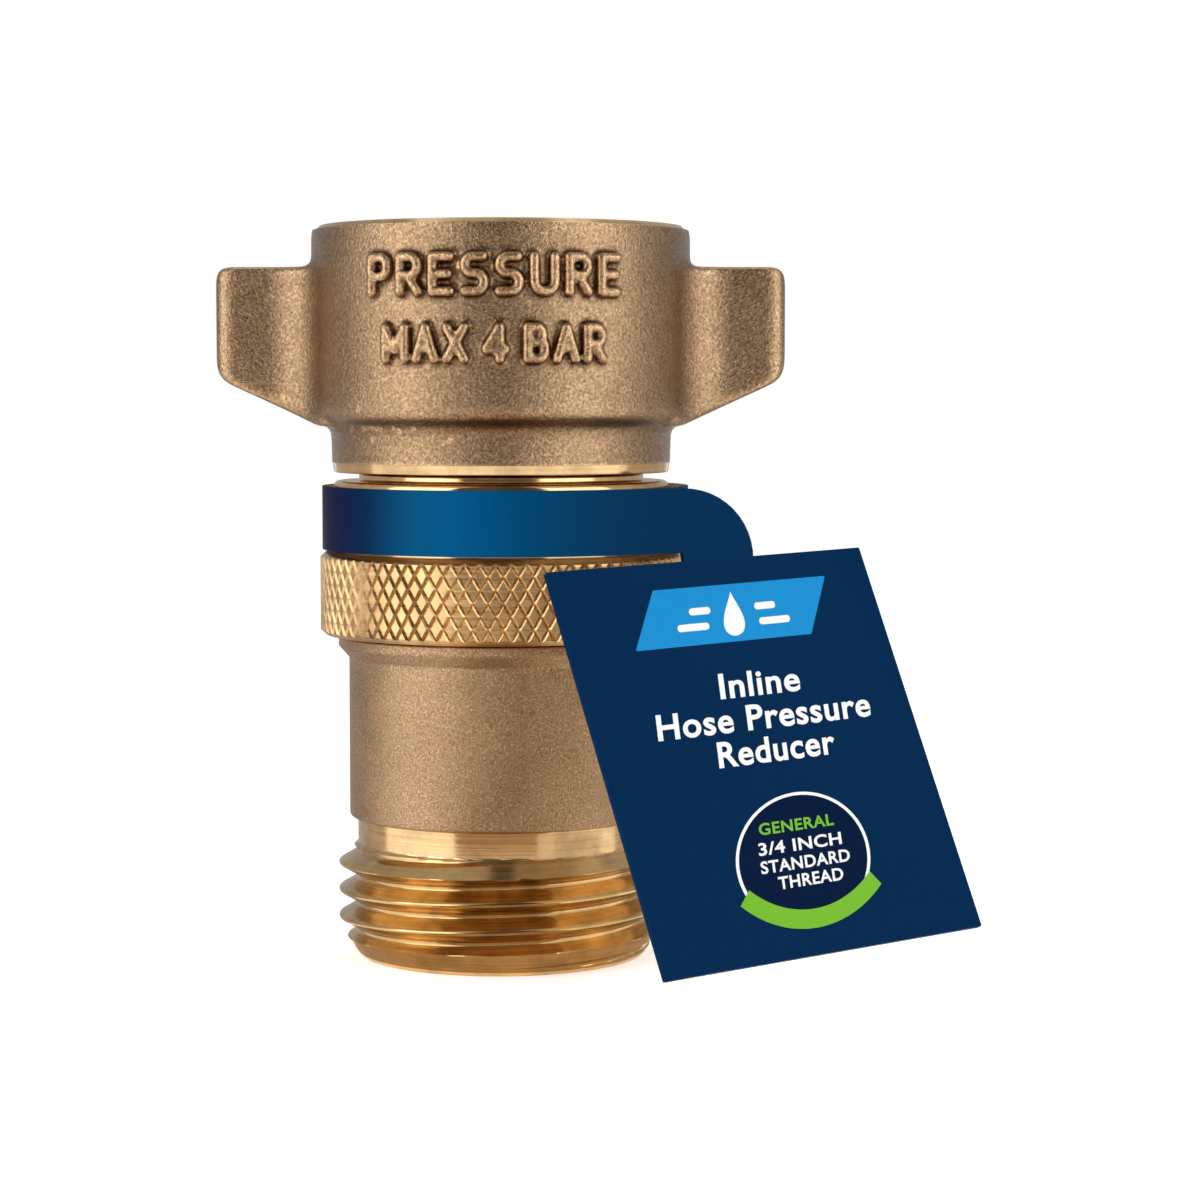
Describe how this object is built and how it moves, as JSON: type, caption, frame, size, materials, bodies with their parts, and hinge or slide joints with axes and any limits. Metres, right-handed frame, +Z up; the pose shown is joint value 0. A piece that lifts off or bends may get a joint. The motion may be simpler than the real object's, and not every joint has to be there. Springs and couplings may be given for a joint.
{
  "type": "water pressure regulator",
  "caption": "In-line brass water pressure regulator for a hose connection, with a winged swivel inlet nut, a knurled collar, a male outlet thread and a card hang tag",
  "frame": {"origin": "middle of the object's box, on the surface that the outlet end stands on; the regulator's own axis runs along Z through x = -7.683 mm, y = 6.128 mm, because the hang tag stands out to one side", "axes": "+Z is up and out of the inlet, against the flow; +X is to the right of the marked face, along the swivel nut's wings; -Y is the marked face"},
  "size_m": [0.0618, 0.0432, 0.0597],
  "materials": {
    "cast_brass": "as cast and tumbled, fine matt grain",
    "machined_brass": "turned bright",
    "stainless": "bright drawn wire and stamped strip",
    "spring_steel": "drawn wire",
    "nitrile": "moulded, semi matt",
    "washer_rubber": "moulded, matt",
    "ptfe": "waxy white",
    "tag_board": "printed board with a satin coat"
  },
  "bodies": {
    "housing": {"outlet_body": "cast_brass", "inlet_bonnet": "machined_brass", "body_o_ring": "nitrile", "retaining_ring": "stainless", "hose_washer": "washer_rubber", "screen_rim": "stainless", "screen_mesh": "stainless", "seat_holder": "machined_brass", "seat_disc": "nitrile", "seat_screw": "stainless", "seat_circlip": "stainless", "stem_o_ring": "nitrile", "stem_backup_ring": "ptfe", "spring_washer": "stainless", "regulating_spring": "spring_steel"},
    "nut": {"swivel_nut": "cast_brass"},
    "piston": {"piston": "machined_brass", "piston_o_ring": "nitrile", "piston_wear_ring": "ptfe"},
    "tag": {"hang_tag": "tag_board"}
  },
  "joints": [
    {"name": "nut_swivel", "type": "hinge", "parent": "housing", "child": "nut", "pos_m": [-0.00768, 0.00613, 0.0497], "axis": [0, 0, 1], "continuous": true},
    {"name": "piston_stroke", "type": "slide", "parent": "housing", "child": "piston", "axis": [0, 0, 1], "range_m": [0, 0.0015], "stiffness_N_per_m": 1000, "deforming": ["regulating_spring"]},
    {"name": "tag_turn", "type": "hinge", "parent": "housing", "child": "tag", "pos_m": [-0.00768, 0.00613, 0.036], "axis": [0, 0, 1], "continuous": true}
  ]
}
